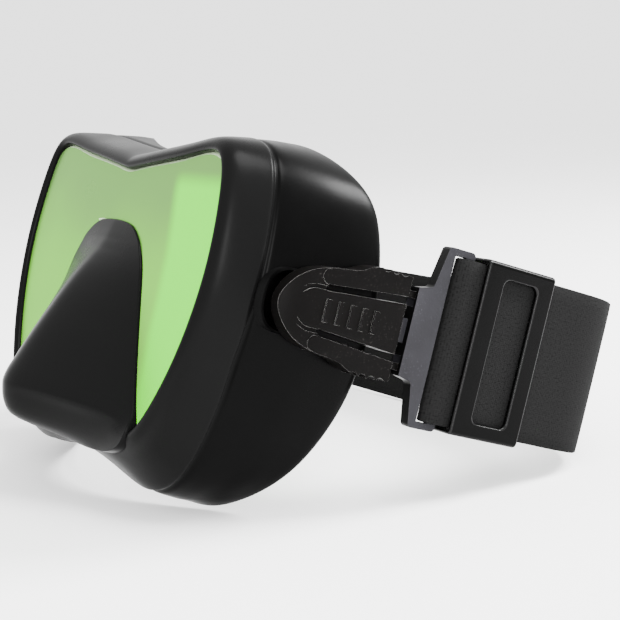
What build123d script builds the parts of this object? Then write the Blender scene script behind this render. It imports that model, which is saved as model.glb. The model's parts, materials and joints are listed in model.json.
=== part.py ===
"""Frameless diving mask: one lens bonded into a silicone skirt, two squeeze-release swivel
buckles and an elastic head strap.

Everything is modelled in the mask's own frame: X towards the wearer's left, Y back towards
the face, Z up, with the origin just above the middle of the lens' top edge, on its front face.
The finished mask is then leaned back until its cheeks and the back of its strap stand on
the ground plane, with the origin under the middle of its bounding box.
"""
from build123d import *
from math import hypot
import os

# Lens
LENS_THICK = 4.0
LENS_BEVEL = 1.2

# Half outlines (x, z), from the top middle round the wearer's left side to the bottom middle.
# FRONT_HALF is the edge of the lens. DOME_HALF is the skirt at its widest, point for point.
FRONT_HALF = [(0, -1.0), (6.5, -0.3), (22.8, 1.8), (40.7, 4.1), (55, 6.0), (64, 3.6), (68.8, -7),
              (71, -22), (70.3, -36), (67, -50), (61.5, -63), (54.5, -74), (45, -80.5), (26, -81), (0, -80.5)]
DOME_HALF = [(0, 12.4), (9, 12.6), (26, 14), (46, 16), (62, 13.5), (73, 6.5), (78.5, -4),
             (81.5, -20), (82, -37), (80.5, -54), (76, -71), (66, -88), (48, -98.3), (27, -93), (0, -87.5)]

# Nose pocket, level by level: height z, half width at the lens, how far forward its ridge is
NOSE_LEVELS = [(-19.5, 5, 0.3), (-21.5, 14, 1.6), (-25, 20.5, 4), (-32, 26.5, 8.2),
               (-40, 30.4, 12.3), (-50, 34.7, 16.6), (-62, 40.2, 20.9), (-73, 46, 23),
               (-78.5, 49.5, 20.5), (-83, 52, 12), (-86, 53, 4)]
NOSE_WALL = 2.2
NOSE_SEAT = 1.8
NOSE_LIP = 2.4
SEAT_FLOOR = -81.5
CUT_FLOOR = -104.0
FOOT_INSET = 10.0
NOSE_GAP = 0.4
CREST_AT, CREST_SHARE = 0.52, 0.6

# Skirt: (y, share of the way from the lens outline to the dome, growth) of each section
BEAD_SECTIONS = [(-1.8, 0.0, 1.4), (-1.2, 0.0, 3.2), (0.6, 0.0, 4.4), (5.0, 0.12, 4.7), (11.6, 0.32, 4.5)]
GROOVE_SECTIONS = [(11.6, 0.32, 3.0), (13.4, 0.37, 3.0)]
DOME_SECTIONS = [(13.4, 0.37, 4.2), (20.0, 0.68, 2.4), (30.0, 0.95, 0.6), (44.0, 1.0, 0.0),
                 (62.0, 1.0, -1.0)]
SEAT_SECTIONS = [(LENS_THICK, 0.0, -2.8), (9.0, 0.0, -0.8), (13.4, 0.37, 0.6)]
CAVITY_SECTIONS = [(13.4, 0.37, 0.6), (20.0, 0.68, -0.6), (30.0, 0.95, -1.8), (44.0, 1.0, -2.4),
                   (62.0, 1.0, -3.2)]
LIP_OVER_BEVEL = 0.9
WINDOW_FRONT_Y = -6.0
BOND = 0.05

# The face is a parabolic cylinder that the skirt's rear edge fits
FACE_FRONT = 15.0
FACE_CURVE = 0.0055
FACE_HALF_WIDTH = 110.0
HEAD_BACK_Y, HEAD_LOW_Z, HEAD_HEIGHT = 200.0, -130.0, 180.0
SEAL_THICK = 1.6
SEAL_WIDTH = 14.0
SEAL_REAR_Y = 70.0

# Stiff core moulded into the front of the skirt
CORE_INNER, CORE_OUTER = 0.8, 3.2
CORE_Y = (1.0, 8.0)

# Swivels
AXIS_Z = -31.5
SWIVEL_Y = 21.5
LUG_X = (72.0, 83.0)
LUG_Y = (11.8, 31.0)
LUG_HALF_HEIGHT = 9.6
LUG_ROUND = 3.5
BOSS_FLANGE_R, BOSS_HUB_R = 6.5, 4.2
BOSS_X = (79.4, 81.4, LUG_X[1])
PIN_R = 2.5
PIN_END_X = 86.8
PIN_SUNK = 0.8
FIT = 0.05
WASHER_R, WASHER_THICK, WASHER_FIT = 5.0, 0.8, 0.2

# Buckle: a bullet-shaped housing whose half height grows from its tip to its open end
BUCKLE_X = 83.4
OUTSIDE_X = 95.4
BULLET_REACH = 20.0
BULLET_HALF = [(14.8, 0), (16.8, 5.6), (20.6, 9.4), (26.5, 11.8), (32.5, 12.7), (36.5, 13.4),
               (40.5, 15.2), (47, 15.9), (54, 15.5)]
BULLET_CROWN = [(14.0, 86.6), (17.0, 88.4), (25.0, 90.4), (36.0, 91.4), (55.0, 91.8)]
BULLET_END_Y = BULLET_HALF[-1][0]
TONGUE_HALF = ((24.0, 5.2), (BULLET_END_Y, 7.4))
SLOT_WIDTH = 2.3
ARM_PIVOT = (27.5, 9.6)
ARM_ROOT_R = 2.2
ARM_GAP = 0.15
SCALLOP_R, SCALLOP_DEPTH, SCALLOP_PITCH = 1.5, 0.7, 3.1
SCALLOP_EDGE_Z = 15.6
SCALLOP_COUNTS = {"upper": 3, "lower": 4}
SCALLOP_LAST_Y = 51.2
RIB_COUNT, RIB_PITCH, RIB_WIDTH, RIB_HALF_HEIGHT, RIB_STAND = 5, 4.0, 1.5, 3.3, 0.6
RIB_FIRST_Y = 28.7
RIB_ROOT_X = 88.0
U_GROOVE_Y, U_GROOVE_R, U_GROOVE_WIDTH = 25.0, 5.6, 1.2
U_GROOVE_FLOOR_X = 89.6
CHANNEL_HALF, CHANNEL_X, CHANNEL_Y = 3.9, (85.0, 88.2), (33.0, 60.0)

# Noses of the latch arms, and their hooks
NOSE_X = (85.6, 88.6)
NOSE_Z = (9.7, 11.7)
NOSE_END_Y = 61.8
HOOK_Y, HOOK_REACH, HOOK_FIT = 60.2, 0.8, 0.3

# Strap frame: the ring that the strap runs through
FRAME_X = (84.6, 90.0)
BAR_X = (86.2, 90.0)
FRAME_FRONT_Y, FRAME_NECK_Y, FRAME_CORNER_Y, FRAME_REAR_Y = 58.3, 63.2, 65.8, 75.5
FRAME_NECK_HALF, FRAME_SHOULDER, FRAME_HALF = 13.2, 14.2, 27.2
FRAME_SLOT_Y = (68.2, 72.4)
FRAME_SLOT_HALF = 25.2
FRAME_ROUND = 1.4
REAR_BAR_Y = FRAME_SLOT_Y[0] + 2.0
REAR_BAR_X = (88.0, 89.8)
FOLD_SLACK = 0.8
SOCKET_X, SOCKET_Z, SOCKET_REAR_Y = (85.2, 89.0), (7.3, 11.9), 62.4
SPADE_HALF, SPADE_X, SPADE_FRONT_Y = 3.6, (85.3, 87.9), 34.0

# Strap and keepers
STRAP_HALF = 24.5
STRAP_THICK = 2.0
STRAP_X = 91.3
STRAP_UNDER_X = 86.4
STRAP_BEND_Y, STRAP_REAR_Y, STRAP_BEND_R = 119.0, 149.0, 30.0
STRAP_REAR_BOW = 3.0
STRAP_TAIL_Y = 113.0
STRAP_STEPS = 12
KEEPER_Y = (78.0, 104.0)
KEEPER_CLEAR = 0.35
KEEPER_WALL = 1.8
KEEPER_ROUND, WINDOW_ROUND = 1.6, 2.5
KEEPER_WINDOW_Y, KEEPER_WINDOW_HALF = (85.0, 98.0), 22.0


def loop(half):
    """Close a half outline with its mirror image."""
    return half + [(-x, z) for x, z in reversed(half[1:-1])]


FRONT = loop(FRONT_HALF)
DOME = loop(DOME_HALF)


def grow(points, by):
    """Move each point of a closed outline outwards by a distance."""
    grown = []
    for i, (x, z) in enumerate(points):
        (x0, z0), (x1, z1) = points[i - 1], points[(i + 1) % len(points)]
        tx, tz = x1 - x0, z1 - z0
        length = hypot(tx, tz)
        grown.append((x - by * tz / length, z + by * tx / length))
    return grown


def section(share, by):
    """Outline part of the way from the lens edge to the dome, grown by a distance."""
    between = [(x + share * (u - x), z + share * (v - z)) for (x, z), (u, v) in zip(FRONT, DOME)]
    return grow(between, by)


def ring(points, y):
    """Closed smooth wire in the plane Y = y: one spline down each side, level at both ends."""
    bottom = len(points) // 2
    left = [Vector(x, y, z) for x, z in points[:bottom + 1]]
    right = [Vector(x, y, z) for x, z in points[bottom:] + points[:1]]
    across = Vector(1, 0, 0)
    return Wire([Edge.make_spline(left, [across, -across]), Edge.make_spline(right, [-across, across])])


def prism(points, y0, y1):
    """Straight solid on a smooth closed outline between two depths."""
    return Solid.extrude(Face(ring(points, y0)), Vector(0, y1 - y0, 0))


def shell_loft(sections, ruled=False):
    """Solid through (y, share, growth) sections."""
    return Solid.make_loft([ring(section(share, by), y) for y, share, by in sections], ruled)


def block(x, y, z):
    """Box between (low, high) pairs."""
    size = [high - low for low, high in (x, y, z)]
    centre = [(low + high) / 2 for low, high in (x, y, z)]
    return Pos(*centre) * Box(*size)


def disc(radius, x0, x1, y, z):
    """Cylinder along X."""
    return Pos((x0 + x1) / 2, y, z) * Rot(0, 90, 0) * Cylinder(radius, abs(x1 - x0))


def plate(points, x0, x1):
    """Flat plate on a polygon of (y, z) points between two X faces."""
    wire = Wire.make_polygon([Vector(x0, y, z) for y, z in points], close=True)
    return Solid.extrude(Face(wire), Vector(x1 - x0, 0, 0))


# ---------------------------------------------------------------- lens, core and skirt

def arch(by=0.0, levels=NOSE_LEVELS, floor=CUT_FLOOR):
    """Outline of the nose cut-out down to a floor."""
    top = [(0, levels[0][0])]
    sides = [(w, z) for z, w, _ in levels[1:]]
    foot = [(sides[-1][0] - FOOT_INSET, floor), (0, floor)]
    return grow(loop(top + sides + foot), by)


def make_core(spare=0.0):
    """Stiff ring round the lens, with an optional spare all round."""
    y = (CORE_Y[0] - spare, CORE_Y[1] + spare)
    return prism(grow(FRONT, CORE_OUTER + spare), *y) - prism(grow(FRONT, CORE_INNER - spare), *y)


def nose_solid(wall, back_y):
    """Nose pocket filled solid, with its surface moved in by a wall thickness."""
    wires = []
    levels = NOSE_LEVELS if wall == NOSE_GAP else NOSE_LEVELS[2:-3]
    for z, half, ridge in levels:
        w, r = half - wall, max(ridge - wall, 0.5)
        flank = (CREST_AT * w, -CREST_SHARE * r)
        crest = Edge.make_spline([Vector(-w, 0, z), Vector(-flank[0], flank[1], z), Vector(0, -r, z),
                                  Vector(*flank, z), Vector(w, 0, z)])
        corners = [Vector(w, 0, z), Vector(w, back_y, z), Vector(-w, back_y, z), Vector(-w, 0, z)]
        sides = [Edge.make_line(a, b) for a, b in zip(corners, corners[1:])]
        wires.append(Wire([crest] + sides))
    return Solid.make_loft(wires, False)


def behind_face(shift=0.0):
    """Everything behind the wearer's face, moved back by a shift."""
    side_y = FACE_FRONT + FACE_CURVE * FACE_HALF_WIDTH ** 2
    w, low, far = FACE_HALF_WIDTH, HEAD_LOW_Z, HEAD_BACK_Y
    curve = Edge.make_bezier(Vector(-w, side_y + shift, low),
                             Vector(0, 2 * FACE_FRONT - side_y + shift, low),
                             Vector(w, side_y + shift, low))
    corners = [Vector(w, side_y + shift, low), Vector(w, far, low), Vector(-w, far, low),
               Vector(-w, side_y + shift, low)]
    sides = [Edge.make_line(a, b) for a, b in zip(corners, corners[1:])]
    return Solid.extrude(Face(Wire([curve] + sides)), Vector(0, 0, HEAD_HEIGHT))


def swivel_lug():
    """Raised pad on the wearer's left that carries the swivel."""
    z = (AXIS_Z - LUG_HALF_HEIGHT, AXIS_Z + LUG_HALF_HEIGHT)
    pad = block(LUG_X, LUG_Y, z)
    return fillet(pad.edges().filter_by(Axis.X), LUG_ROUND)


def lens_blank(spare=0.0):
    """The lens before its nose cut-out: bevelled in front, square behind."""
    edge = grow(FRONT, spare)
    bevel = Solid.make_loft([ring(grow(edge, -LENS_BEVEL), 0), ring(edge, LENS_BEVEL)], True)
    return prism(edge, LENS_BEVEL, LENS_THICK) + bevel


def make_lens():
    """Lens with its nose cut-out, bevelled along both front edges."""
    bevel = Solid.make_loft([ring(arch(LENS_BEVEL), 0), ring(arch(), LENS_BEVEL)], True)
    return lens_blank() - prism(arch(), -1, LENS_THICK + 1) - bevel


def skirt_shell():
    """Band, groove and dome, open in front of the lens and along the face."""
    outer = shell_loft(BEAD_SECTIONS, True) + shell_loft(GROOVE_SECTIONS, True) + shell_loft(DOME_SECTIONS)
    lug = swivel_lug()
    outer += lug + mirror(lug, about=Plane.YZ)
    cavity = shell_loft(SEAT_SECTIONS, True) + shell_loft(CAVITY_SECTIONS)
    window = prism(grow(FRONT, LIP_OVER_BEVEL - LENS_BEVEL), WINDOW_FRONT_Y, LENS_THICK)
    return outer - cavity - behind_face() - window - lens_blank(BOND)


def face_seal():
    """Thin flange that lies along the face all round the skirt's rear edge."""
    rim = prism(grow(DOME, -1.0), 0, SEAL_REAR_Y) - prism(grow(DOME, -SEAL_WIDTH), 0, SEAL_REAR_Y)
    return (rim & behind_face(-SEAL_THICK)) - behind_face()


def make_skirt():
    """Skirt with its nose pocket, hollowed for the nose, the lens and the core."""
    rear = LENS_THICK + NOSE_SEAT
    edge = [Vector(x, LENS_THICK, z) for x, z in arch(NOSE_LIP, NOSE_LEVELS[:-2], SEAT_FLOOR)]
    seat = Solid.extrude(Face(Wire.make_polygon(edge, close=True)), Vector(0, NOSE_SEAT, 0))
    skirt = skirt_shell() + face_seal() + seat + nose_solid(NOSE_GAP, rear)
    return skirt - nose_solid(NOSE_WALL, LENS_THICK + 10) - make_core(BOND)


# ---------------------------------------------------------------- swivels and buckles

def at_axis(solid):
    """Lift a piece drawn about Z = 0 to the height of the swivel axis."""
    return Pos(0, 0, AXIS_Z) * solid


def make_boss():
    """Flanged socket moulded into a lug, in which the pin is set."""
    flange = disc(BOSS_FLANGE_R, BOSS_X[0], BOSS_X[1], SWIVEL_Y, 0)
    hub = disc(BOSS_HUB_R, BOSS_X[1], BOSS_X[2], SWIVEL_Y, 0)
    return flange + hub - disc(PIN_R, BOSS_X[0] + PIN_SUNK, BOSS_X[2], SWIVEL_Y, 0)


def make_pin():
    """Pin that the buckle turns on."""
    return disc(PIN_R, BOSS_X[0] + PIN_SUNK, PIN_END_X, SWIVEL_Y, 0)


def make_washer():
    """Bearing washer between a lug and its buckle."""
    x = (LUG_X[1], LUG_X[1] + WASHER_THICK)
    return disc(WASHER_R, *x, SWIVEL_Y, 0) - disc(PIN_R, *x, SWIVEL_Y, 0)


def tongue_half(y, extra=0.0):
    """Half height of the centre tongue at a depth."""
    (y0, h0), (y1, h1) = TONGUE_HALF
    return h0 + (h1 - h0) * (y - y0) / (y1 - y0) + extra


def bullet():
    """Housing filled solid: rounded in side view, crowned in plan view."""
    upper = [Vector(BUCKLE_X, y, z) for y, z in BULLET_HALF]
    lower = [Vector(v.X, v.Y, -v.Z) for v in reversed(upper[1:])]
    tip = Edge.make_spline(lower + upper)
    outline = Face(Wire([tip, Edge.make_line(upper[-1], lower[0])]))
    side = Solid.extrude(outline, Vector(OUTSIDE_X - BUCKLE_X, 0, 0))
    crown = [Vector(x, y, -BULLET_REACH) for y, x in BULLET_CROWN]
    low = [Vector(BUCKLE_X, crown[-1].Y, -BULLET_REACH), Vector(BUCKLE_X, crown[0].Y, -BULLET_REACH)]
    plan = [Edge.make_spline(crown)]
    plan += [Edge.make_line(a, b) for a, b in ((crown[-1], low[0]), (low[0], low[1]), (low[1], crown[0]))]
    return side & Solid.extrude(Face(Wire(plan)), Vector(0, 0, 2 * BULLET_REACH))


def arm_zone(gap):
    """Region of the upper latch arm, widened by a gap all round."""
    y, z = ARM_PIVOT
    end_y = BULLET_END_Y + 1
    inner0 = z - ARM_ROOT_R - gap
    inner1 = tongue_half(end_y, SLOT_WIDTH) - gap
    corners = [(y, inner0), (end_y, inner1), (end_y, BULLET_REACH), (y, BULLET_REACH)]
    return plate(corners, BUCKLE_X - 1, OUTSIDE_X) + disc(ARM_ROOT_R + gap, BUCKLE_X - 1, OUTSIDE_X, y, z)


def scallops(count):
    """Grip notches along the outer edge of the upper latch arm."""
    z = SCALLOP_EDGE_Z + SCALLOP_R - SCALLOP_DEPTH
    places = [SCALLOP_LAST_Y - i * SCALLOP_PITCH for i in range(count)]
    return [disc(SCALLOP_R, BUCKLE_X - 1, OUTSIDE_X, y, z) for y in places]


def make_arm(side):
    """Latch arm: springs in the plane of the strap, hooked at its rear end."""
    arm = bullet() & arm_zone(0.0)
    for cutter in scallops(SCALLOP_COUNTS[side]):
        arm -= cutter
    arm += block(NOSE_X, (BULLET_END_Y - 1, NOSE_END_Y), NOSE_Z)
    arm += plate([(HOOK_Y, NOSE_Z[1]), (HOOK_Y, NOSE_Z[1] + HOOK_REACH), (NOSE_END_Y, NOSE_Z[1])], *NOSE_X)
    return arm if side == "upper" else mirror(arm, about=Plane.XY)


def crown_x(y):
    """How far out the housing's crown is at a depth."""
    for (y0, x0), (y1, x1) in zip(BULLET_CROWN, BULLET_CROWN[1:]):
        if y <= y1:
            return x0 + (x1 - x0) * (y - y0) / (y1 - y0)
    return BULLET_CROWN[-1][1]


def tongue_ribs():
    """Raised ribs across the centre tongue."""
    ribs = []
    for i in range(RIB_COUNT):
        y = RIB_FIRST_Y + i * RIB_PITCH
        across = (y - RIB_WIDTH / 2, y + RIB_WIDTH / 2)
        x = (RIB_ROOT_X, crown_x(y) + RIB_STAND)
        ribs.append(block(x, across, (-RIB_HALF_HEIGHT, RIB_HALF_HEIGHT)))
    return ribs


def u_groove():
    """Shallow groove round the front of the tongue, running straight back into the slots."""
    y, radius, outer = U_GROOVE_Y, U_GROOVE_R, U_GROOVE_R + U_GROOVE_WIDTH
    x = (U_GROOVE_FLOOR_X, OUTSIDE_X)
    turn = disc(outer, *x, y, 0) - disc(radius, BUCKLE_X, OUTSIDE_X + 1, y, 0)
    run_y = (y, ARM_PIVOT[0] + 1)
    front = block((BUCKLE_X, OUTSIDE_X), (y - BULLET_REACH, y), (-BULLET_REACH, BULLET_REACH))
    return [turn & front, block(x, run_y, (radius, outer)), block(x, run_y, (-outer, -radius))]


def make_buckle():
    """Housing with its ribbed tongue, without the two latch arms."""
    body = bullet()
    y0, y1 = ARM_PIVOT[0], BULLET_END_Y + 1
    corners = [(y0, tongue_half(y0)), (y1, tongue_half(y1)), (y1, BULLET_REACH), (y0, BULLET_REACH)]
    for cut in (arm_zone(ARM_GAP), plate(corners, BUCKLE_X - 1, OUTSIDE_X)):
        body -= cut
        body -= mirror(cut, about=Plane.XY)
    for rib in tongue_ribs():
        body += rib
    for cut in u_groove():
        body -= cut
    body -= block(CHANNEL_X, CHANNEL_Y, (-CHANNEL_HALF, CHANNEL_HALF))
    body -= disc(PIN_R + FIT, BUCKLE_X - 1, PIN_END_X + FIT, SWIVEL_Y, 0)
    return body - disc(WASHER_R + WASHER_FIT, BUCKLE_X - 1, LUG_X[1] + WASHER_THICK + FIT, SWIVEL_Y, 0)


def make_frame():
    """Ring that the strap runs through, with its sockets for the latch arms and its guide."""
    outline = [(FRAME_FRONT_Y, FRAME_NECK_HALF), (FRAME_NECK_Y, FRAME_SHOULDER),
               (FRAME_CORNER_Y, FRAME_HALF), (FRAME_REAR_Y, FRAME_HALF)]
    outline += [(y, -z) for y, z in reversed(outline)]
    ring_body = fillet(plate(outline, *BAR_X).edges().filter_by(Axis.X), FRAME_ROUND)
    ring_body += block(FRAME_X, (FRAME_FRONT_Y, FRAME_NECK_Y), (-FRAME_NECK_HALF, FRAME_NECK_HALF))
    slot_z = (-FRAME_SLOT_HALF, FRAME_SLOT_HALF)
    ring_body -= block((BUCKLE_X, OUTSIDE_X), FRAME_SLOT_Y, slot_z)
    for x in ((BAR_X[0] - 1, REAR_BAR_X[0]), (REAR_BAR_X[1], BAR_X[1] + 1)):
        ring_body -= block(x, (REAR_BAR_Y, FRAME_REAR_Y + 1), slot_z)
    for sign in (1, -1):
        z = sorted((sign * SOCKET_Z[0], sign * SOCKET_Z[1]))
        hook_z = sorted((sign * SOCKET_Z[0], sign * (SOCKET_Z[1] + HOOK_REACH)))
        ring_body -= block(SOCKET_X, (FRAME_FRONT_Y - 1, SOCKET_REAR_Y), z)
        ring_body -= block(SOCKET_X, (HOOK_Y - HOOK_FIT, SOCKET_REAR_Y), hook_z)
    return ring_body + block(SPADE_X, (SPADE_FRONT_Y, FRAME_FRONT_Y + 1), (-SPADE_HALF, SPADE_HALF))


# ---------------------------------------------------------------- strap and keepers

def strap_run():
    """Centre line of the left half of the strap, from its tail to the middle of the back."""
    fold_y = FRAME_REAR_Y - 1.5
    turn = ((STRAP_X + STRAP_UNDER_X) / 2, FRAME_SLOT_Y[1] - STRAP_THICK / 2 - FOLD_SLACK)
    corner_x, corner_y = STRAP_X - STRAP_BEND_R, STRAP_REAR_Y - STRAP_REAR_BOW
    rise = 0.707 * (corner_y - STRAP_BEND_Y)
    knuckle = (STRAP_X - 0.293 * STRAP_BEND_R, STRAP_BEND_Y + rise)
    forwards, backwards, inwards = (0, -1), (0, 1), (-1, 0)
    return [
        Edge.make_line((STRAP_UNDER_X, STRAP_TAIL_Y), (STRAP_UNDER_X, fold_y)),
        Edge.make_spline([(STRAP_UNDER_X, fold_y), turn, (STRAP_X, fold_y)], [forwards, backwards]),
        Edge.make_line((STRAP_X, fold_y), (STRAP_X, STRAP_BEND_Y)),
        Edge.make_spline([(STRAP_X, STRAP_BEND_Y), knuckle, (corner_x, corner_y), (0, STRAP_REAR_Y)],
                         [backwards, inwards]),
    ]


def make_strap():
    """Flat elastic strap: each end goes round the rear bar of its frame and doubles back."""
    outside, inside = [], []
    for edge in strap_run():
        steps = 1 if edge.geom_type == GeomType.LINE else STRAP_STEPS
        for i in range(steps):
            point, along = edge.position_at(i / steps), edge.tangent_at(i / steps)
            across = Vector(-along.Y, along.X, 0) * (STRAP_THICK / 2)
            outside.append(point + across)
            inside.append(point - across)
    outside.append(Vector(0, STRAP_REAR_Y - STRAP_THICK / 2, 0))
    inside.append(Vector(0, STRAP_REAR_Y + STRAP_THICK / 2, 0))
    outline = Wire.make_polygon(outside + inside[::-1], close=True)
    half = Pos(0, 0, -STRAP_HALF) * Solid.extrude(Face(outline), Vector(0, 0, 2 * STRAP_HALF))
    return half + mirror(half, about=Plane.YZ)


def make_keeper():
    """Sleeve round both layers of the strap, with a window in its outer wall."""
    x = (STRAP_UNDER_X - STRAP_THICK / 2 - KEEPER_CLEAR, STRAP_X + STRAP_THICK / 2 + KEEPER_CLEAR)
    z = STRAP_HALF + KEEPER_CLEAR
    shell = block((x[0] - KEEPER_WALL, x[1] + KEEPER_WALL), KEEPER_Y, (-z - KEEPER_WALL, z + KEEPER_WALL))
    shell = fillet(shell.edges().filter_by(Axis.Y), KEEPER_ROUND)
    shell -= block(x, (KEEPER_Y[0] - 1, KEEPER_Y[1] + 1), (-z, z))
    window = block((x[1] - 1, OUTSIDE_X + 1), KEEPER_WINDOW_Y, (-KEEPER_WINDOW_HALF, KEEPER_WINDOW_HALF))
    return shell - fillet(window.edges().filter_by(Axis.X), WINDOW_ROUND)


# ---------------------------------------------------------------- assembly and export

def make_parts():
    """All pieces in the mask's own frame, by node name."""
    skirt = make_skirt()
    left = {"swivel_boss": make_boss(), "pivot_pin": make_pin(), "pivot_washer": make_washer(),
            "buckle_body": make_buckle(), "upper_latch_arm": make_arm("upper"),
            "lower_latch_arm": make_arm("lower"), "strap_frame": make_frame(),
            "strap_keeper": make_keeper()}
    parts = {}
    for name, solid in left.items():
        parts[name + "_left"] = at_axis(solid)
        parts[name + "_right"] = mirror(at_axis(solid), about=Plane.YZ)
        if name in ("swivel_boss", "pivot_pin"):
            skirt = skirt - parts[name + "_left"] - parts[name + "_right"]
    parts.update(lens=make_lens(), frame_core=make_core(), skirt=skirt)
    parts["strap"] = at_axis(make_strap())
    return parts


def lowest_point(solid, lean):
    """Height of the lowest point of a piece at a lean."""
    return (Rot(lean, 0, 0) * solid).bounding_box().min.Z


def resting_lean(parts):
    """Lean at which the cheeks and the back of the strap touch the ground together."""
    low, high = -40.0, 0.0
    while high - low > 0.001:
        lean = (low + high) / 2
        if lowest_point(parts["skirt"], lean) < lowest_point(parts["strap"], lean):
            high = lean
        else:
            low = lean
    return low


def stand(parts):
    """Lean every piece back and put the origin under the middle of the bounding box."""
    lean = resting_lean(parts)
    leant = {name: Rot(lean, 0, 0) * solid for name, solid in parts.items()}
    boxes = [solid.bounding_box() for solid in leant.values()]
    y0, y1 = min(b.min.Y for b in boxes), max(b.max.Y for b in boxes)
    z0 = min(b.min.Z for b in boxes)
    place = Pos(0, -(y0 + y1) / 2, -z0)
    print("lean", round(lean, 3), "shift", round(-(y0 + y1) / 2, 3), round(-z0, 3))
    return {name: place * solid for name, solid in leant.items()}


def main():
    os.makedirs("parts", exist_ok=True)
    for name, solid in stand(make_parts()).items():
        print(name, len(solid.solids()), round(solid.volume, 1), solid.is_valid)
        export_step(solid, f"parts/{name}.step")


main()
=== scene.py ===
"""Looks for the diving mask: soft parts rebuilt as meshes, CAD parts refinished, studio set."""
import json
from math import cos, pi, radians, sin

import bpy
import numpy as np
from mathutils import Matrix, Vector


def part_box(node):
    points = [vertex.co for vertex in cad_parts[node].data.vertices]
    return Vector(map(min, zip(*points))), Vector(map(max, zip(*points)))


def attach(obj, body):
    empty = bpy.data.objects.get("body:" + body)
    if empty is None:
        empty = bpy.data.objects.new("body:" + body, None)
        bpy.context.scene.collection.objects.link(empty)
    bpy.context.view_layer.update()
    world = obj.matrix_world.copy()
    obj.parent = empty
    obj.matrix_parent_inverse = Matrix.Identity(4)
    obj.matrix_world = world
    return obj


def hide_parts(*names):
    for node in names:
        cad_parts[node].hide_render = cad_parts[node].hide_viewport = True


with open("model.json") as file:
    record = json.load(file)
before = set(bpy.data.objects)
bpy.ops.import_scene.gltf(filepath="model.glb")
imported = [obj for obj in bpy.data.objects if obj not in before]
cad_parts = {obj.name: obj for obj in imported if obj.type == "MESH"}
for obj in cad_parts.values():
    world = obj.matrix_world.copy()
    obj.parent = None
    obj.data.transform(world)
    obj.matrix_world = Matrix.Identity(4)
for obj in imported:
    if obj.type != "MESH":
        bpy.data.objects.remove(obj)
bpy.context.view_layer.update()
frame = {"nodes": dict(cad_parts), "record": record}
MM = 0.001
SIDES = ("left", "right")

# The mask's own frame (mm): X to the wearer's left, Y back, Z up, origin at the top of the lens
SWIVEL = Vector((0.0, 21.5, -31.5))


def mask_to_row():
    """Matrix from the mask's own frame in mm to the row frame in metres."""
    joints = {j["name"]: j for j in frame["record"]["behaviour"]["joints"]}
    back = Vector(joints["keeper_slide_left"]["axis"]).normalized()
    side = Vector((1, 0, 0))
    turn = Matrix((side, back, side.cross(back))).transposed()
    pivot = Vector(joints["strap_swivel"]["pos_m"])
    move = Matrix.Translation(pivot) @ turn.to_4x4() @ Matrix.Translation(-SWIVEL * MM)
    return move @ Matrix.Scale(MM, 4)


PLACE = mask_to_row()
BACK = (PLACE.to_3x3() @ Vector((0, 1, 0))).normalized()


# ---------------------------------------------------------------- shapes (mm, mask's own frame)

# Half outlines (x, z) from the top middle down the wearer's left side to the bottom middle
FRONT_HALF = [
    (0, -1.0), (2.5, -0.82), (9, 0.0), (22.8, 1.8), (40.7, 4.1), (55, 6.0), (64, 3.6), (68.8, -7),
    (71, -22), (70.3, -36), (67, -50), (61.5, -63), (54.5, -74), (45, -80.5), (26, -81),
    (0, -80.5)]
DOME_HALF = [
    (0, 12.4), (3.2, 12.45), (11, 12.75), (26, 14), (46, 16), (62, 13.5), (73, 6.5), (78.5, -4),
    (81.5, -20), (82, -37), (80.5, -54), (76, -71), (66, -88), (48, -98.3), (27, -93), (0, -87.5)]
AROUND = 7

# Section law of the skirt's outside: depth y, share of the way from lens edge to dome, growth
LAW = np.array([
    (-2, 0.0, 1.0), (0.6, 0.0, 4.4), (5.0, 0.12, 4.8), (11.6, 0.32, 4.6), (13.4, 0.37, 4.2),
    (20.0, 0.68, 2.4), (30.0, 0.95, 0.6), (44.0, 1.0, 0.0), (62.0, 1.0, -1.0)])
WALL = 2.8

# Rear edge of the dome: depth at the middle, and how it curves back towards the sides
FACE_FRONT, FACE_CURVE = 15.0, 0.0055

# Fullness under the mask: amount, depth of its middle, reach, height it starts at, height it takes
CHIN, CHIN_Y, CHIN_REACH = 5.2, 10.0, 10.0
CHIN_TOP, CHIN_RISE = -50.0, 26.0

# Profile of the skirt as (depth, growth) from the lens edge, or as depths and shares of the dome
LIP = [(0.95, -0.3), (0.0, -0.35), (-0.9, -0.15), (-1.55, 0.4), (-1.8, 1.2), (-1.5, 2.2),
       (-0.7, 3.2), (0.2, 3.95)]
BAND = (1.6, 4.5, 8.0, 10.6)
GROOVE = [(11.3, 4.5), (11.9, 4.1), (12.4, 3.65), (13.0, 3.6), (13.5, 3.85), (14.2, 4.0)]
GROOVE_END = 14.2
DOME_SHARES = (0.12, 0.28, 0.45, 0.62, 0.78, 0.9)
INNER_START = 13.0
INNER_SHARES = (0.8, 0.55, 0.3, 0.1)
CHANNEL = [(9.0, -0.9), (6.2, -1.6), (5.8, -3.0), (4.9, -3.4), (4.05, -3.2), (4.02, -0.4),
           (2.5, 0.05), (1.2, 0.05)]

# Face seal: how far behind the dome's rear edge, and how far inside it
SEAL = [(-1.2, 0.4), (-0.2, 1.6), (0.0, 3.5), (-0.1, 7.0), (0.2, 11.0), (0.6, 13.6),
        (-0.3, 13.9), (-1.2, 11.0), (-1.6, 7.0), (-2.2, 4.2)]

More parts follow.
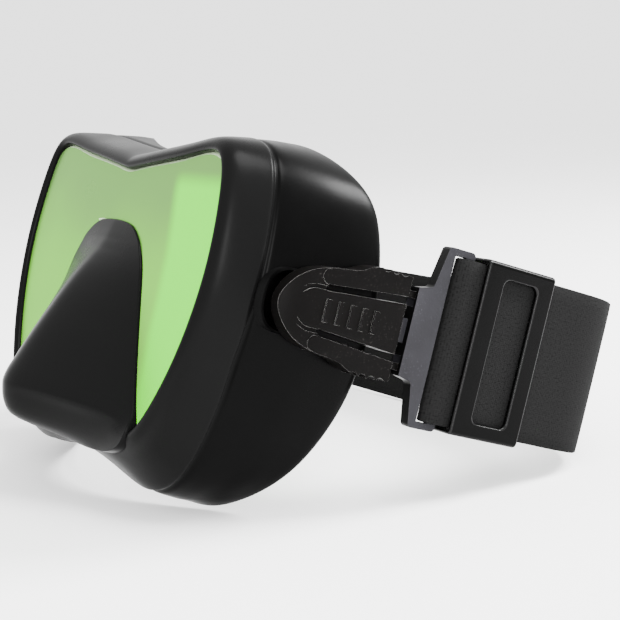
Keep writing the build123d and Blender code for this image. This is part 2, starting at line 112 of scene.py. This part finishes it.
# Nose pocket: height, half width at the lens, how far forward the ridge is
NOSE = [
    (-18.0, 0, 0.0), (-18.2, 5, 0.1), (-18.6, 9.5, 0.3), (-19.5, 13.6, 0.5), (-21.1, 17.1, 0.8),
    (-24.4, 21.8, 1.5), (-28, 24.4, 2.9), (-32, 27.1, 5.2), (-40, 30.5, 9.5), (-50, 34.6, 14.0),
    (-62, 40.1, 19.0), (-69, 43.6, 21.6), (-72.5, 45.5, 23.0), (-75.5, 47.2, 23.4),
    (-78, 48.2, 22.2), (-81, 48.4, 21.0), (-84, 47.0, 19.4), (-86.2, 44.0, 17.6),
    (-87.8, 40.0, 14.5), (-88.8, 35.0, 8.5), (-89.2, 31.0, 3.0)]
NOSE_ROWS, NOSE_COLS = 64, 41
NOSE_WALL = 1.6
NOSE_MIN_HALF = 0.3
NOSE_SPREAD = 0.999 * pi / 2
LENS_BACK, FLANK_FRONT, FLANK_INSET = 4.06, 0.3, 0.3

# Lip in front of the lens and flange behind it, from the nose's underside to its flanks
UNDERSIDE = (-80, -74)
NOSE_LIP, NOSE_FLANGE = (2.6, 0.7), (0.2, 2.4)
LIP_SHARE, LIP_EDGE = 0.12, 0.6

# Heights of the crease under the flanks, and how hollow the flanks are there
KEEL = ((-87, -79.5, -76), (2.4, 1.7, 1.0))
CREST_SOFT, FLANK_SHARE = 0.006, 0.78

# Underside of the nose pocket, tucked into the band, with its ends turned up: height, half width,
# depth
NOSE_FOOT = [(-89.8, 33.0, -0.8), (-90.1, 34.0, 1.5), (-89.9, 34.0, 4.2), (-88.8, 33.0, 8.0)]
FOOT_TURN, FOOT_POWER = 3.0, 6
FOOT_OUT, FOOT_UP = 0.4, 0.5

# Pads that carry the swivels: depths, half height, (x, inset) of each row, squareness, points round
LUG_FRONT, LUG_REAR, LUG_HALF = 12.3, 30.5, 9.6
LUG_ROWS = ((74.0, 0.0), (82.4, 0.0), (83.0, 0.7))
LUG_POWER, LUG_AROUND = 0.8, 32

# Strap: half width and thickness, then the places its centre line passes
STRAP_HALF, STRAP_THICK = 24.8, 2.0
STRAP_X, STRAP_UNDER_X = 91.3, 86.4
FOLD_Y, FOLD_TURN_Y = 74.0, 70.6
BEND_Y, BEND_R, REAR_Y, REAR_BOW, TAIL_Y = 119.0, 30.0, 149.0, 3.0, 113.0

# How hard the centre line pulls (sideways, back) at the fold, the bend and the rear, and its steps
FOLD_PULL, BEND_PULL, REAR_PULL = (4, 5), (46, 4), (61, 5)
LAYER_STEPS, FOLD_STEPS, SIDE_STEPS, BEND_STEPS, REAR_STEPS = 20, 8, 24, 18, 24

# Section of the strap: points across, then shares: thickness of the faces, their thinning and
# width, thickness of the edges
STRAP_ACROSS = 15
STRAP_FULL, STRAP_THIN, STRAP_FACE, STRAP_EDGE = 0.96, 0.12, 0.985, 0.35


# ---------------------------------------------------------------- mesh helpers

def hermite_curve(a, b, da, db, t):
    """Points of a cubic from a to b with slopes da and db."""
    return (a * (2 * t**3 - 3 * t**2 + 1) + da * (t**3 - 2 * t**2 + t)
            + b * (3 * t**2 - 2 * t**3) + db * (t**3 - t**2))


def smooth_loop(half, per=AROUND):
    """Closed periodic cubic spline through a half outline and its mirror image."""
    pts = np.array(half + [(-x, z) for x, z in reversed(half[1:-1])], float)
    n = len(pts)
    rows = np.eye(n) * 4 + np.roll(np.eye(n), 1, 1) + np.roll(np.eye(n), -1, 1)
    slope = np.linalg.solve(rows, 3 * (np.roll(pts, -1, 0) - np.roll(pts, 1, 0)))
    t = (np.arange(per) / per)[None, :, None]
    ends = (v[:, None] for v in (pts, np.roll(pts, -1, 0), slope, np.roll(slope, -1, 0)))
    return hermite_curve(*ends, t).reshape(-1, 2)


FRONT, DOME = smooth_loop(FRONT_HALF), smooth_loop(DOME_HALF)


def grown(points, by):
    """Outline moved outwards along its own normals by a distance, one value or one per point."""
    along = np.roll(points, -1, 0) - np.roll(points, 1, 0)
    along /= np.linalg.norm(along, axis=1)[:, None]
    normal = np.stack([-along[:, 1], along[:, 0]], 1)
    return points + normal * np.broadcast_to(by, len(points))[:, None]


def mesh_object(name, verts, faces, material):
    """Smooth-shaded object from points in the mask's own frame."""
    mesh = bpy.data.meshes.new(name)
    mesh.from_pydata([PLACE @ Vector(v) for v in verts], [], faces)
    mesh.validate()
    mesh.polygons.foreach_set("use_smooth", [True] * len(mesh.polygons))
    mesh.materials.append(material)
    obj = bpy.data.objects.new(name, mesh)
    bpy.context.scene.collection.objects.link(obj)
    return obj


def grid_faces(rows, cols, close_rows=False, close_cols=False):
    """Quads of a grid of points stored row by row, closed either way if asked."""
    faces = []
    for i in range(rows if close_rows else rows - 1):
        for j in range(cols if close_cols else cols - 1):
            below, beside = (i + 1) % rows, (j + 1) % cols
            faces.append((i * cols + j, below * cols + j, below * cols + beside, i * cols + beside))
    return faces


def subdivide(obj, levels):
    mod = obj.modifiers.new("Subdivision", "SUBSURF")
    mod.levels = mod.render_levels = levels


# ---------------------------------------------------------------- shader helpers

def new_material(name):
    """Fresh material, with its node tree and its shader."""
    mat = bpy.data.materials.new(name)
    mat.use_nodes = True
    return mat, mat.node_tree, mat.node_tree.nodes["Principled BSDF"]


def grey(value, tint=(1, 1, 1)):
    return tuple(value * t for t in tint)


def coordinate(tree, output):
    return tree.nodes.new("ShaderNodeTexCoord").outputs[output]


def noise(tree, scale, detail=4.0, rough=0.55, where=None):
    """Noise in the piece's own space, or at another coordinate."""
    tex = tree.nodes.new("ShaderNodeTexNoise")
    tex.inputs["Scale"].default_value = scale
    tex.inputs["Detail"].default_value = detail
    tex.inputs["Roughness"].default_value = rough
    tree.links.new(coordinate(tree, "Object") if where is None else where, tex.inputs["Vector"])
    return tex.outputs["Fac"]


def wave(tree, scale, direction, distortion, where):
    """Soft bands across a coordinate."""
    tex = tree.nodes.new("ShaderNodeTexWave")
    tex.bands_direction = direction
    tex.inputs["Scale"].default_value = scale
    tex.inputs["Distortion"].default_value = distortion
    tree.links.new(where, tex.inputs["Vector"])
    return tex.outputs["Fac"]


def ramp(tree, value, stops):
    """Colours along a value, from stops of place and colour."""
    node = tree.nodes.new("ShaderNodeValToRGB")
    while len(node.color_ramp.elements) < len(stops):
        node.color_ramp.elements.new(0.5)
    for element, (at, colour) in zip(node.color_ramp.elements, stops):
        element.position = at
        element.color = (*colour, 1)
    tree.links.new(value, node.inputs["Fac"])
    return node.outputs["Color"]


def wandering(tree, scale, low, high):
    """Colour that wanders between two others."""
    return ramp(tree, noise(tree, scale), [(0.3, low), (0.7, high)])


def maths(tree, kind, *values):
    """Math node on sockets or numbers."""
    node = tree.nodes.new("ShaderNodeMath")
    node.operation = kind
    for socket, value in zip(node.inputs, values):
        if isinstance(value, (int, float)):
            socket.default_value = value
        else:
            tree.links.new(value, socket)
    return node.outputs[0]


def span(tree, value, low, high):
    """Smooth 0 to 1 as a value goes from low to high."""
    node = tree.nodes.new("ShaderNodeMapRange")
    node.interpolation_type = "SMOOTHSTEP"
    node.inputs["From Min"].default_value = low
    node.inputs["From Max"].default_value = high
    tree.links.new(value, node.inputs["Value"])
    return node.outputs["Result"]


def blended(tree, factor, a, b):
    """Mix of two colours, each a socket or a colour."""
    mix = tree.nodes.new("ShaderNodeMix")
    mix.data_type = "RGBA"
    tree.links.new(factor, mix.inputs["Factor"])
    for name, value in (("A", a), ("B", b)):
        if isinstance(value, tuple):
            mix.inputs[name].default_value = (*value, 1)
        else:
            tree.links.new(value, mix.inputs[name])
    return mix.outputs["Result"]


def along_direction(tree, output, direction):
    """How far a coordinate of the piece lies along a direction."""
    node = tree.nodes.new("ShaderNodeVectorMath")
    node.operation = "DOT_PRODUCT"
    tree.links.new(coordinate(tree, output), node.inputs[0])
    node.inputs[1].default_value = direction
    return node.outputs["Value"]


def facing(tree, direction, low, high):
    """Smooth 0 to 1 as the surface turns from low to high along a direction, either way round."""
    turned = maths(tree, "ABSOLUTE", along_direction(tree, "Normal", direction))
    return span(tree, turned, low, high)


def bump(tree, bsdf, height, distance, strength=0.5):
    node = tree.nodes.new("ShaderNodeBump")
    node.inputs["Distance"].default_value = distance
    node.inputs["Strength"].default_value = strength
    tree.links.new(height, node.inputs["Height"])
    tree.links.new(node.outputs["Normal"], bsdf.inputs["Normal"])


# ---------------------------------------------------------------- materials

MOTTLE_SCALE, SHEEN_SCALE, SHEEN_SPREAD = 60.0, 35.0, 0.05
SPECK_SCALE, PATCH_SCALE = 1500.0, 90.0

# Leaf green is the coating's colour; the sage at the top and lime at one side are painted
# reflection
# Lens colours, the height shares where leaf turns to sage, the lime area's edges (m)
LEAF, SAGE_REFLECTION, LIME_REFLECTION = (0.13, 0.42, 0.035), (0.10, 0.23, 0.055), (0.10, 0.74, 0.0)
# Pale bare glass on the lens's edges, also a painted highlight along them
BARE_GLASS_HIGHLIGHT, COAT_SHEEN = (0.55, 0.70, 0.45), (0.55, 1.0, 0.35, 1)
WANDER_SCALE, WANDER = 22.0, 0.030
SAGE_SHARES = (0.45, 0.9)
LIME_SIDE, LIME_BELOW, LIME_DRIFT, LIME_WANDER = (0.034, 0.041), (0.011, 0.005), 0.12, 0.35
COAT_FACING, COAT_METAL = (0.80, 0.95), 0.5

# Webbing: tones of its yarns, then how fine its flecks and ribs are, and how far the ribs waver
# and show
YARNS = [(0.36, grey(0.0025)), (0.55, grey(0.0065)), (0.85, grey(0.0085))]
FLECKS, RIBS_ALONG, RIBS_ACROSS, RIB_WARP, RIB_TONE = 1.6, 0.45, 0.55, 0.6, 0.12

# How far the frame's faces turn along X to keep their lighter colour: painted light, the rest
# painted shade
LIT_FACING = (0.6, 0.9)
MATTE_EDGE, MATTE_BLUR = 12.6, 0.001


def moulded(name, colour, tint, roughness, grain_scale, grain_depth,
            scuff=0.0, spread=0.25, specular=0.5):
    """Moulded plastic or rubber: mottled colour, uneven sheen, fine grain, pale scuffs."""
    mat, tree, bsdf = new_material(name)
    dark, light = (grey(colour * (1 + s), tint) for s in (-spread, spread))
    colours = wandering(tree, MOTTLE_SCALE, dark, light)
    if scuff:
        specks = noise(tree, SPECK_SCALE, 3.0, 0.7)
        speck = ramp(tree, specks, [(0.60, grey(0)), (0.74, grey(1))])
        patch = ramp(tree, noise(tree, PATCH_SCALE), [(0.45, grey(0)), (0.70, grey(1))])
        worn = maths(tree, "MULTIPLY", speck, patch)
        colours = blended(tree, worn, colours, grey(scuff, tint))
    tree.links.new(colours, bsdf.inputs["Base Color"])
    smooth, rough = grey(roughness - SHEEN_SPREAD), grey(roughness + SHEEN_SPREAD)
    tree.links.new(wandering(tree, SHEEN_SCALE, smooth, rough), bsdf.inputs["Roughness"])
    bsdf.inputs["Specular IOR Level"].default_value = specular
    bump(tree, bsdf, noise(tree, grain_scale, 2.0), grain_depth)
    return mat


def lens_material():
    """Green mirror coating in leaf green, with painted reflection: sage near the top, lime towards
    one side.
    """
    mat, tree, bsdf = new_material("mirror_lens")
    lo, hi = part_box("lens")
    split = tree.nodes.new("ShaderNodeSeparateXYZ")
    tree.links.new(coordinate(tree, "Object"), split.inputs[0])
    x, z = split.outputs["X"], split.outputs["Z"]
    wander = maths(tree, "MULTIPLY_ADD", noise(tree, WANDER_SCALE, 2.0), WANDER, -WANDER / 2)
    # Painted reflection: sage over the upper part of the lens
    sage_from, sage_to = (lo.z + share * (hi.z - lo.z) for share in SAGE_SHARES)
    sage = span(tree, maths(tree, "ADD", z, wander), sage_from, sage_to)
    # Painted reflection: a lime band towards one side, fading out just under the top
    drift = maths(tree, "MULTIPLY", maths(tree, "SUBTRACT", z, hi.z), LIME_DRIFT)
    aside = maths(tree, "MULTIPLY_ADD", wander, LIME_WANDER, maths(tree, "ADD", x, drift))
    top = span(tree, z, hi.z - LIME_BELOW[0], hi.z - LIME_BELOW[1])
    lime = maths(tree, "MULTIPLY", span(tree, aside, *LIME_SIDE), maths(tree, "SUBTRACT", 1.0, top))
    colours = blended(tree, lime, blended(tree, sage, LEAF, SAGE_REFLECTION), LIME_REFLECTION)
    # Coating on the lens's faces; bare glass with a painted highlight on its edges
    coated = facing(tree, BACK, *COAT_FACING)
    tree.links.new(blended(tree, coated, BARE_GLASS_HIGHLIGHT, colours), bsdf.inputs["Base Color"])
    tree.links.new(maths(tree, "MULTIPLY", coated, COAT_METAL), bsdf.inputs["Metallic"])
    tree.links.new(wandering(tree, 20.0, grey(0.20), grey(0.28)), bsdf.inputs["Roughness"])
    bsdf.inputs["Specular IOR Level"].default_value = 0.2
    bsdf.inputs["Specular Tint"].default_value = COAT_SHEEN
    bump(tree, bsdf, noise(tree, 9.0, 1.0), 0.0004, 0.1)
    return mat


def webbing_material():
    """Elastic webbing: faint ribs along and across the strap, and dark flecks between yarns."""
    mat, tree, bsdf = new_material("strap_webbing")
    uv = tree.nodes.new("ShaderNodeUVMap")
    uv.uv_map = "UVMap"
    where = uv.outputs["UV"]
    ribs = [wave(tree, scale, axis, RIB_WARP, where)
            for scale, axis in ((RIBS_ALONG, "X"), (RIBS_ACROSS, "Y"))]
    weave = maths(tree, "MULTIPLY", maths(tree, "ADD", *ribs), RIB_TONE)
    tone = maths(tree, "ADD", noise(tree, FLECKS, 2.0, 0.5, where), weave)
    tree.links.new(ramp(tree, tone, YARNS), bsdf.inputs["Base Color"])
    bsdf.inputs["Roughness"].default_value = 0.9
    bsdf.inputs["Specular IOR Level"].default_value = 0.03
    bump(tree, bsdf, tone, 0.0002, 0.35)
    return mat


def base_colour(mat):
    """Node tree of a material, its base colour socket, and what feeds it."""
    tree = mat.node_tree
    base = tree.nodes["Principled BSDF"].inputs["Base Color"]
    return tree, base, base.links[0].from_socket


def paint_light_by_facing(mat, colour):
    """Painted light and shade on a plate: faces along X keep the lighter colour as if lit, edges
    painted dark as shade.
    """
    tree, base, lit_face_colour = base_colour(mat)
    tree.links.new(blended(tree, facing(tree, (1, 0, 0), *LIT_FACING), grey(colour), lit_face_colour), base)


def matte_front(mat, colour, edge_y):
    """Charcoal colour on everything in front of a depth in the mask's own frame."""
    tree, base, rest = base_colour(mat)
    start = BACK.dot(PLACE @ Vector((0, edge_y, 0)))
    depth = along_direction(tree, "Object", BACK)
    behind = span(tree, depth, start - MATTE_BLUR, start + MATTE_BLUR)
    tree.links.new(blended(tree, behind, grey(colour), rest), base)


SKIRT = moulded("skirt_silicone", 0.0006, (1, 1, 1), 0.30, 900.0, 0.00003, specular=0.03)
BUCKLE = moulded("buckle_plastic", 0.0016, (1.0, 0.90, 0.86), 0.42, 1800.0, 0.00006,
                 scuff=0.035, specular=0.03)
# Painted highlight: pale colour on the buckle's bevelled edges
BUCKLE_EDGE_HIGHLIGHT = moulded("buckle_edge_highlight", 0.20, (1.0, 0.97, 0.94), 0.40, 1800.0, 0.00006,
                      spread=0.6, specular=0.2)
RING = moulded("frame_plastic", 0.016, (0.97, 0.95, 1.10), 0.40, 1500.0, 0.00005,
               scuff=0.10, specular=0.06)
# Painted highlight: paler colour on the frame's bevelled edges
RING_EDGE_HIGHLIGHT = moulded("frame_edge_highlight", 0.08, (0.97, 0.96, 1.06), 0.40, 1500.0, 0.00005,
                    spread=0.5, specular=0.2)
KEEPER = moulded("keeper_rubber", 0.0006, (1, 1, 1), 0.18, 700.0, 0.00003, specular=0.035)
# Painted highlight: lighter colour on the keeper's bevelled edges
KEEPER_EDGE_HIGHLIGHT = moulded("keeper_edge_highlight", 0.003, (1, 1, 1), 0.20, 700.0, 0.00003, specular=0.12)
CORE = moulded("core_plastic", 0.004, (1, 1, 1), 0.5, 900.0, 0.00004, specular=0.1)
WASHER = moulded("washer_plastic", 0.35, (1, 1, 0.95), 0.4, 900.0, 0.00003)
STEEL = moulded("pin_steel", 0.45, (1, 1, 1), 0.3, 1200.0, 0.00002)
# Painted highlight: a pale line on the lens's bevelled edges
LENS_EDGE_HIGHLIGHT = moulded("lens_bevel_highlight", 0.55, (0.93, 1.0, 0.90), 0.15, 400.0, 0.00001,
                    spread=0.1, specular=0.5)
LENS = lens_material()
WEBBING = webbing_material()
STEEL.node_tree.nodes["Principled BSDF"].inputs["Metallic"].default_value = 1.0
# Painted light and shade on the frame: lighter faces along X, darker sides
paint_light_by_facing(RING, 0.0012)
matte_front(SKIRT, 0.0030, MATTE_EDGE)


# ---------------------------------------------------------------- skirt

def law(y):
    """Share and growth of the skirt's outside at a depth, or at one depth per column."""
    return np.interp(y, LAW[:, 0], LAW[:, 1]), np.interp(y, LAW[:, 0], LAW[:, 2])


def section(y, share, by):
    """One row of the skirt: points (x, y, z) round the outline."""
    share = np.broadcast_to(share, len(FRONT))[:, None]
    flat = grown(FRONT * (1 - share) + DOME * share, by)
    return np.stack([flat[:, 0], np.broadcast_to(y, len(flat)), flat[:, 1]], 1)


def sag(y):
    """Extra fullness under the mask, just behind the lens."""
    low = np.clip((CHIN_TOP - FRONT[:, 1]) / CHIN_RISE, 0, 1)
    return CHIN * low * np.exp(-((y - CHIN_Y) / CHIN_REACH) ** 2)


def outside(y):
    """One row of the skirt's outside, by the section law."""
    share, by = law(y)
    return section(y, share, by + sag(y))


def skirt_rows():
    """Closed profile carried round the outline: lip, band, groove, dome, seal, inside, channel."""
    rear = FACE_FRONT + FACE_CURVE * DOME[:, 0] ** 2
    rows = [section(y, 0.0, by) for y, by in LIP]
    rows += [outside(y) for y in BAND]
    rows += [section(y, law(y)[0], by + sag(y)) for y, by in GROOVE]
    rows += [outside(GROOVE_END + (rear - GROOVE_END) * t) for t in DOME_SHARES]
    share, by = law(rear)
    rows += [section(rear + back, share, by - inwards) for back, inwards in SEAL]
    for t in INNER_SHARES:
        y = INNER_START + (rear - INNER_START) * t
        share, by = law(y)
        rows.append(section(y, share, by - WALL))
    return rows + [section(y, 0.0, by) for y, by in CHANNEL]


def make_skirt():
    rows = skirt_rows()
    faces = grid_faces(len(rows), len(rows[0]), True, True)
    obj = mesh_object("skirt_shell", np.concatenate(rows), faces, SKIRT)
    subdivide(obj, 2)
    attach(obj, "mask")
    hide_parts("skirt")


def nose_profile(across):
    """Forward share at a place across the nose pocket: nearly flat flanks and a rounded crest."""
    soft, square = CREST_SOFT, across**2
    rounded = (np.sqrt(square + soft) - np.sqrt(soft)) / (np.sqrt(1 + soft) - np.sqrt(soft))
    return FLANK_SHARE * (1 - rounded) + (1 - FLANK_SHARE) * (1 - square)


def nose_levels():
    """Heights, half widths and reach of the nose pocket's rows, closer together near its top."""
    table = np.array(NOSE)
    top, drop = table[0, 0], table[0, 0] - table[-1, 0]
    t = np.linspace(0, 1, NOSE_ROWS)
    place = np.sqrt((top - table[:, 0]) / drop)
    half, reach = (np.interp(t, place, table[:, k]) for k in (1, 2))
    return top - drop * t**2, np.maximum(half, NOSE_MIN_HALF), reach


def nose_row(flank, front):
    """Row across the nose pocket: one flank, the front, and the flank's mirror image."""
    return np.concatenate([flank, front, [(-x, y, z) for x, y, z in reversed(flank)]])


def nose_rows():
    """Rows of the nose pocket down its front, then back under it."""
    heights, halves, reaches = nose_levels()
    out = np.stack([-np.gradient(heights), np.gradient(halves)], 1)
    out /= np.maximum(np.linalg.norm(out, axis=1), 1e-6)[:, None]
    out *= np.interp(heights, UNDERSIDE, NOSE_FLANGE)[:, None]
    across = np.sin(np.linspace(-1, 1, NOSE_COLS) * NOSE_SPREAD)
    rows = []
    for z, half, reach, (side, up) in zip(heights, halves, reaches, out):
        lip = min(np.interp(z, UNDERSIDE, NOSE_LIP), LIP_SHARE * half)
        depth = -reach * nose_profile(across) ** np.interp(z, *KEEL) - lip
        front = np.stack([(half - FLANK_INSET) * across, depth, np.full(NOSE_COLS, z)], 1)
        flank = [(-half - side, LENS_BACK, z + up), (-half, LENS_BACK, z),
                 (-half, FLANK_FRONT, z), (-half, -lip * LIP_EDGE, z)]
        rows.append(nose_row(flank, front))
    for z, half, y in NOSE_FOOT:
        height = z + FOOT_TURN * np.abs(across) ** FOOT_POWER
        front = np.stack([half * across, np.full(NOSE_COLS, y), height], 1)
        flank = [(-half - FOOT_OUT * k, y, z + FOOT_TURN + FOOT_UP * k) for k in (4, 3, 2, 1)]
        rows.append(nose_row(flank, front))
    return rows


def make_nose():
    """Nose pocket that stands forward through the cut-out of the lens."""
    rows = nose_rows()
    faces = grid_faces(len(rows), len(rows[0]))
    obj = mesh_object("nose_pocket", np.concatenate(rows), faces, SKIRT)
    shell = obj.modifiers.new("Wall", "SOLIDIFY")
    shell.thickness = NOSE_WALL * MM
    shell.offset = -1
    subdivide(obj, 1)
    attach(obj, "mask")


def squared(value):
    """Sine or cosine pushed outwards, for a circle drawn a little square."""
    return np.sign(value) * abs(value) ** LUG_POWER


def make_lugs():
    """Raised pads on the skirt's sides that carry the swivels."""
    middle, reach, n = (LUG_FRONT + LUG_REAR) / 2, (LUG_REAR - LUG_FRONT) / 2, LUG_AROUND
    last = len(LUG_ROWS) * n
    faces = grid_faces(len(LUG_ROWS), n, False, True)
    faces += [tuple(range(last - n, last)), tuple(reversed(range(n)))]
    for side, sign in zip(SIDES, (1, -1)):
        corners = []
        for x, inset in LUG_ROWS:
            for a in (2 * pi * k / n for k in range(n)):
                y = middle + squared(cos(a)) * (reach - inset)
                corners.append((sign * x, y, SWIVEL.z + squared(sin(a)) * (LUG_HALF - inset)))
        obj = mesh_object(f"swivel_lug_{side}", corners, faces, SKIRT)
        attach(obj, "mask")


# ---------------------------------------------------------------- strap

def hermite(a, b, da, db, steps):
    """Points from a towards b, leaving along da and arriving along db."""
    t = np.linspace(0, 1, steps, endpoint=False)[:, None]
    return hermite_curve(*(np.array(v, float) for v in (a, b, da, db)), t)


def strap_line():
    """Centre line (x, y) of the strap from the left tail to the right tail."""
    under, outer = (STRAP_UNDER_X, FOLD_Y), (STRAP_X, FOLD_Y)
    turn = ((STRAP_X + STRAP_UNDER_X) / 2, FOLD_TURN_Y)
    bend, corner = (STRAP_X, BEND_Y), (STRAP_X - BEND_R, REAR_Y - REAR_BOW)
    layer, run = (0, FOLD_Y - TAIL_Y), (0, BEND_Y - FOLD_Y)
    (fold_x, fold_y), (bend_x, bend_y), (rear_x, rear_y) = FOLD_PULL, BEND_PULL, REAR_PULL
    half = np.concatenate([
        hermite((STRAP_UNDER_X, TAIL_Y), under, layer, layer, LAYER_STEPS),
        hermite(under, turn, (0, -fold_y), (fold_x, 0), FOLD_STEPS),
        hermite(turn, outer, (fold_x, 0), (0, fold_y), FOLD_STEPS),
        hermite(outer, bend, run, run, SIDE_STEPS),
        hermite(bend, corner, (0, bend_x), (-bend_x, bend_y), BEND_STEPS),
        hermite(corner, (0, REAR_Y), (-rear_x, rear_y), (-rear_x, 0), REAR_STEPS),
        [(0, REAR_Y)]])
    return np.concatenate([half, half[-2::-1] * (-1, 1)])


def strap_section():
    """Section of the strap: (outwards, height) round it."""
    full, edge, top = STRAP_THICK / 2 * STRAP_FULL, STRAP_THICK / 2 * STRAP_EDGE, STRAP_HALF
    face = [(full * (1 - STRAP_THIN * abs(a) ** 6), top * a * STRAP_FACE)
            for a in np.linspace(-1, 1, STRAP_ACROSS)]
    inner = [(-out, z) for out, z in reversed(face)]
    return face + [(edge, top), (-edge, top)] + inner + [(-edge, -top), (edge, -top)]


def make_strap():
    line, profile = strap_line(), strap_section()
    along = np.gradient(line, axis=0)
    along /= np.linalg.norm(along, axis=1)[:, None]
    normal = np.stack([-along[:, 1], along[:, 0]], 1)
    steps = np.linalg.norm(np.diff(line, axis=0), axis=1)
    length = np.concatenate([[0], np.cumsum(steps)])
    verts, coords = [], []
    for (x, y), (nx, ny), s in zip(line, normal, length):
        for out, z in profile:
            verts.append((x + nx * out, y + ny * out, SWIVEL.z + z))
            coords.append((s, z))
    rows, cols = len(line), len(profile)
    faces = grid_faces(rows, cols, False, True)
    faces += [tuple(range(cols)), tuple((rows - 1) * cols + k for k in reversed(range(cols)))]
    obj = mesh_object("strap_webbing", verts, faces, WEBBING)
    layer = obj.data.uv_layers.new(name="UVMap")
    for loop in obj.data.loops:
        layer.data[loop.index].uv = coords[loop.vertex_index]
    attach(obj, "strap_assembly")
    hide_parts("strap")


# ---------------------------------------------------------------- carried-over CAD parts

WELD_GAP = 0.00002
BEVEL_SEGMENTS, BEVEL_ANGLE = 3, radians(35)


def refinish(node, material, bevel=0.0, edge_highlight_material=None):
    """New material on a CAD node, with softened edges in a paler material, a painted highlight, if
    asked.
    """
    obj = frame["nodes"][node]
    obj.data.materials.clear()
    obj.data.materials.append(material)
    if not bevel:
        return
    obj.data.materials.append(edge_highlight_material)
    weld = obj.modifiers.new("Weld", "WELD")
    weld.merge_threshold = WELD_GAP
    edge = obj.modifiers.new("Edges", "BEVEL")
    edge.width = bevel * MM
    edge.segments = BEVEL_SEGMENTS
    edge.limit_method = "ANGLE"
    edge.angle_limit = BEVEL_ANGLE
    edge.material = 1
    smooth = obj.modifiers.new("Normals", "WEIGHTED_NORMAL")
    smooth.keep_sharp = False


def refinish_all():
    refinish("lens", LENS, 0.15, LENS_EDGE_HIGHLIGHT)
    refinish("frame_core", CORE)
    for side in SIDES:
        refinish(f"swivel_boss_{side}", CORE)
        refinish(f"pivot_pin_{side}", STEEL)
        refinish(f"pivot_washer_{side}", WASHER)
        for piece in ("buckle_body", "upper_latch_arm", "lower_latch_arm"):
            refinish(f"{piece}_{side}", BUCKLE, 0.3, BUCKLE_EDGE_HIGHLIGHT)
        refinish(f"strap_frame_{side}", RING, 0.3, RING_EDGE_HIGHLIGHT)
        refinish(f"strap_keeper_{side}", KEEPER, 0.6, KEEPER_EDGE_HIGHLIGHT)


# ---------------------------------------------------------------- studio

CAMERA_AT = Vector((432.0, -183.9, -36.5))
CAMERA_AZIMUTH, CAMERA_TILT, CAMERA_TURN = 58.718, -0.585, 13.736
CAMERA_LENS, CAMERA_SENSOR, CAMERA_CLIP = 83.7, 36.0, (0.02, 20.0)

WORLD_STRENGTH = 2.6
FLOOR_SIZE, FLOOR_DROP, FLOOR_GLOW = 60, 0.0002, 0.35

# Soft lights, aimed at the middle of the mask: name, place, size (m), power (W)
AIM = (0, 0, 0.05)
LIGHTS = [
    ("key_top", (0.35, 0.15, 0.85), (0.40, 0.40), 14.0),
    ("rim_back", (0.28, 0.80, 0.68), (0.40, 0.30), 32.0),
    ("side_fill", (0.85, -0.45, 0.35), (0.15, 0.45), 8.0)]


def make_camera():
    """Camera ahead of the mask and to the wearer's left, set in the mask's own frame."""
    around, tilt, roll = (radians(v) for v in (CAMERA_AZIMUTH, CAMERA_TILT, CAMERA_TURN))
    ahead = Vector((-sin(around) * cos(tilt), cos(around) * cos(tilt), -sin(tilt)))
    level = Vector((cos(around), sin(around), 0))
    down = ahead.cross(level)
    right = level * cos(roll) - down * sin(roll)
    down = level * sin(roll) + down * cos(roll)
    turn = PLACE.to_3x3().normalized() @ Matrix((right, -down, -ahead)).transposed()
    data = bpy.data.cameras.new("camera")
    data.lens, data.sensor_width = CAMERA_LENS, CAMERA_SENSOR
    data.clip_start, data.clip_end = CAMERA_CLIP
    obj = bpy.data.objects.new("camera", data)
    obj.matrix_world = Matrix.Translation(PLACE @ CAMERA_AT) @ turn.to_4x4()
    bpy.context.scene.collection.objects.link(obj)
    bpy.context.scene.camera = obj


def area_light(name, at, size, power):
    data = bpy.data.lights.new(name, "AREA")
    data.shape = "RECTANGLE"
    data.size, data.size_y = size
    data.energy = power
    obj = bpy.data.objects.new(name, data)
    obj.location = at
    obj.rotation_mode = "QUATERNION"
    obj.rotation_quaternion = (Vector(AIM) - Vector(at)).to_track_quat("-Z", "Y")
    bpy.context.scene.collection.objects.link(obj)


def make_floor():
    """Plain pale floor that glows a little, so that it blends into the backdrop."""
    bpy.ops.mesh.primitive_plane_add(size=FLOOR_SIZE, location=(0, 0, -FLOOR_DROP))
    floor = bpy.context.object
    floor.name = "floor"
    mat, tree, bsdf = new_material("floor_paper")
    tree.links.new(wandering(tree, 3.0, grey(0.86), grey(0.88)), bsdf.inputs["Base Color"])
    bsdf.inputs["Roughness"].default_value = 0.95
    bsdf.inputs["Specular IOR Level"].default_value = 0.0
    bsdf.inputs["Emission Color"].default_value = (1, 1, 1, 1)
    bsdf.inputs["Emission Strength"].default_value = FLOOR_GLOW
    floor.data.materials.append(mat)


def make_studio():
    world = bpy.data.worlds.new("studio")
    bpy.context.scene.world = world
    world.use_nodes = True
    backdrop = world.node_tree.nodes["Background"]
    backdrop.inputs["Color"].default_value = (1, 1, 1, 1)
    backdrop.inputs["Strength"].default_value = WORLD_STRENGTH
    make_floor()
    for light in LIGHTS:
        area_light(*light)


make_skirt()
make_nose()
make_lugs()
make_strap()
refinish_all()
make_studio()
make_camera()
